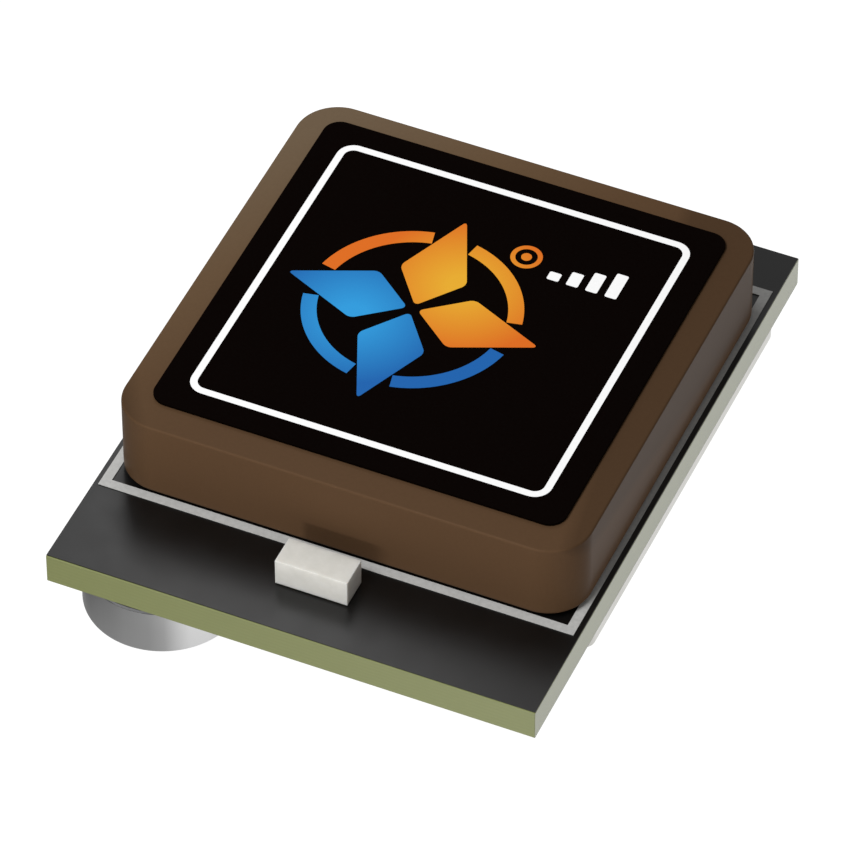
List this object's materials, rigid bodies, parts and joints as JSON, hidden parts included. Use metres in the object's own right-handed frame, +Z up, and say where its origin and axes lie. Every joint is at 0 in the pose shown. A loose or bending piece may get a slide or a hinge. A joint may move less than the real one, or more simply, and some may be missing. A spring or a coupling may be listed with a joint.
{
  "type": "gps module",
  "caption": "Satellite positioning module: a square ceramic patch antenna with a label on a small circuit board, with a screening can and a coin cell below.",
  "frame": {"origin": "middle of the plane that the module rests on, under the centre of the circuit board", "axes": "+X to the right along the front edge, +Y from the front edge to the back, +Z up through the antenna and its label"},
  "size_m": [0.023, 0.0302, 0.0087],
  "materials": {
    "board": "black solder mask on glass-epoxy laminate, satin gloss",
    "white_print": "white printing ink, matt",
    "tape": "double-sided adhesive tape",
    "silver": "fired silver film",
    "antenna_ceramic": "fired microwave ceramic, brown, matt",
    "tinned_brass": "tinned brass, bright",
    "solder": "solder, bright",
    "label_film": "black printed film, matt",
    "lamp_body": "off-white lamp body, satin",
    "gold_plate": "gold plate over nickel, bright",
    "can_sheet": "nickel silver sheet, satin",
    "cell_metal": "nickel-plated steel, satin",
    "cell_gasket": "grey nylon gasket and washer",
    "package_ceramic": "off-white package ceramic",
    "mould_compound": "black epoxy mould compound, matt",
    "chip_ceramic": "tan capacitor ceramic with tinned ends"
  },
  "bodies": {
    "root": {"circuit_board": "board", "printed_frame": "white_print", "antenna_tape": "tape", "ground_electrode": "silver", "antenna_ceramic": "antenna_ceramic", "patch_electrode": "silver", "feed_pin": "tinned_brass", "feed_pin_solder": "solder", "antenna_label": "label_film", "label_border": "white_print", "indicator_lamp": "lamp_body", "lamp_land_left": "gold_plate", "lamp_land_right": "gold_plate", "shield_can": "can_sheet", "cell_can": "cell_metal", "cell_gasket": "cell_gasket", "cell_cap": "cell_metal", "cell_washer": "cell_gasket", "cell_tab_positive": "cell_metal", "cell_tab_negative": "cell_metal", "wire_pad_1": "gold_plate", "wire_pad_2": "gold_plate", "wire_pad_3": "gold_plate", "wire_pad_4": "gold_plate", "antenna_filter": "package_ceramic", "radio_amplifier": "mould_compound", "second_filter": "package_ceramic", "receiver_chip": "mould_compound", "flash_memory": "mould_compound", "oscillator_base": "package_ceramic", "oscillator_lid": "can_sheet", "clock_crystal_base": "package_ceramic", "clock_crystal_lid": "can_sheet", "voltage_regulator": "mould_compound", "input_capacitor": "chip_ceramic", "output_capacitor": "chip_ceramic", "feed_inductor": "package_ceramic", "match_inductor": "package_ceramic", "chip_capacitor_1": "chip_ceramic", "chip_capacitor_2": "chip_ceramic", "chip_capacitor_3": "chip_ceramic", "chip_capacitor_4": "chip_ceramic", "bias_resistor": "mould_compound", "reset_resistor": "mould_compound"}
  },
  "joints": []
}
